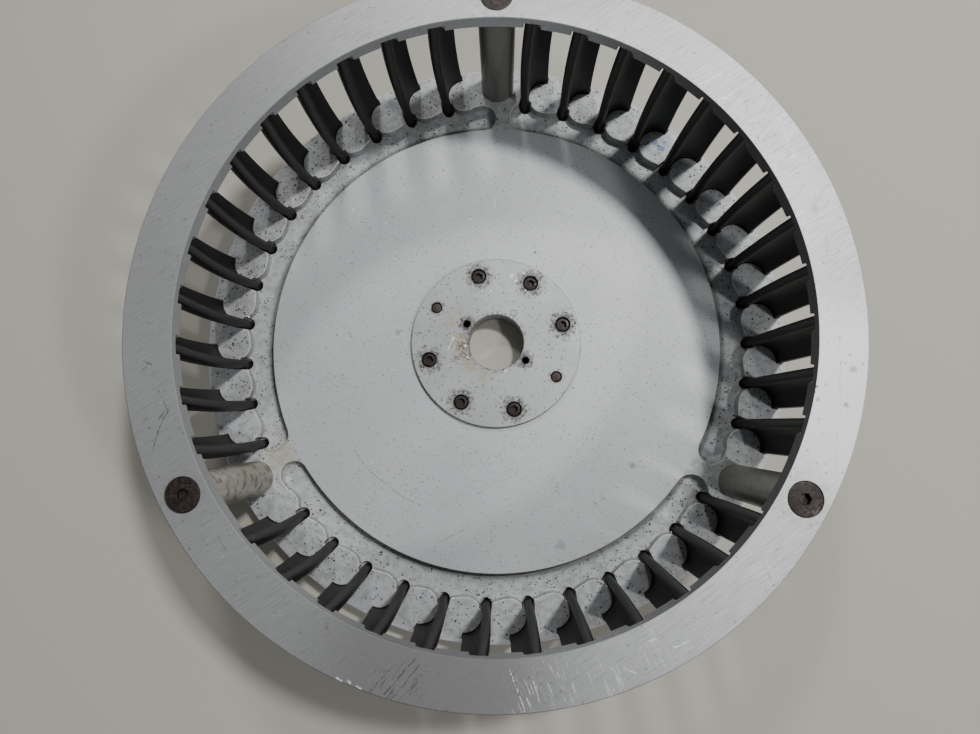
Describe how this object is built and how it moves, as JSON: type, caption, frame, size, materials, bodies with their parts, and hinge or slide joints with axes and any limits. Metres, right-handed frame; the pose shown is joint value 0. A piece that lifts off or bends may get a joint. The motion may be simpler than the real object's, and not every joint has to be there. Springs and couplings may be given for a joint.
{
  "type": "bladed rotor wheel",
  "caption": "Open fan rotor wheel: upright black hooked blades between a solid back disc and a flat top ring, held by round posts, with a bolted hub plate and centre bore.",
  "frame": {"origin": "on the wheel's axis, at the back face of the back disc", "axes": "+Z along the axis from the back disc towards the top ring; +Y towards the first post, at the top of the picture"},
  "size_m": [0.42, 0.42, 0.137],
  "materials": {
    "disc_aluminium": "fine machined, with small dark pits and specks",
    "ring_aluminium": "brushed, with scratches and nicked edges",
    "hub_aluminium": "fine machined, stained beside the bore",
    "post_aluminium": "dull turned, dusty",
    "blade_black": "matt black with a soft sheen on the nose",
    "screw_steel": "blackened steel with brown tarnish"
  },
  "bodies": {
    "root": {"base_disc": "disc_aluminium", "hub_plate": "hub_aluminium", "top_ring": "ring_aluminium", "post_1": "post_aluminium", "post_2": "post_aluminium", "post_3": "post_aluminium", "ring_screw_1": "screw_steel", "ring_screw_2": "screw_steel", "ring_screw_3": "screw_steel", "blade_01": "blade_black", "blade_02": "blade_black", "blade_03": "blade_black", "blade_04": "blade_black", "blade_05": "blade_black", "blade_06": "blade_black", "blade_07": "blade_black", "blade_08": "blade_black", "blade_09": "blade_black", "blade_10": "blade_black", "blade_11": "blade_black", "blade_12": "blade_black", "blade_13": "blade_black", "blade_14": "blade_black", "blade_15": "blade_black", "blade_16": "blade_black", "blade_17": "blade_black", "blade_18": "blade_black", "blade_19": "blade_black", "blade_20": "blade_black", "blade_21": "blade_black", "blade_22": "blade_black", "blade_23": "blade_black", "blade_24": "blade_black", "blade_25": "blade_black", "blade_26": "blade_black", "blade_27": "blade_black", "blade_28": "blade_black", "blade_29": "blade_black", "blade_30": "blade_black", "blade_31": "blade_black", "blade_32": "blade_black", "blade_33": "blade_black", "blade_34": "blade_black", "blade_35": "blade_black", "blade_36": "blade_black"}
  },
  "joints": []
}
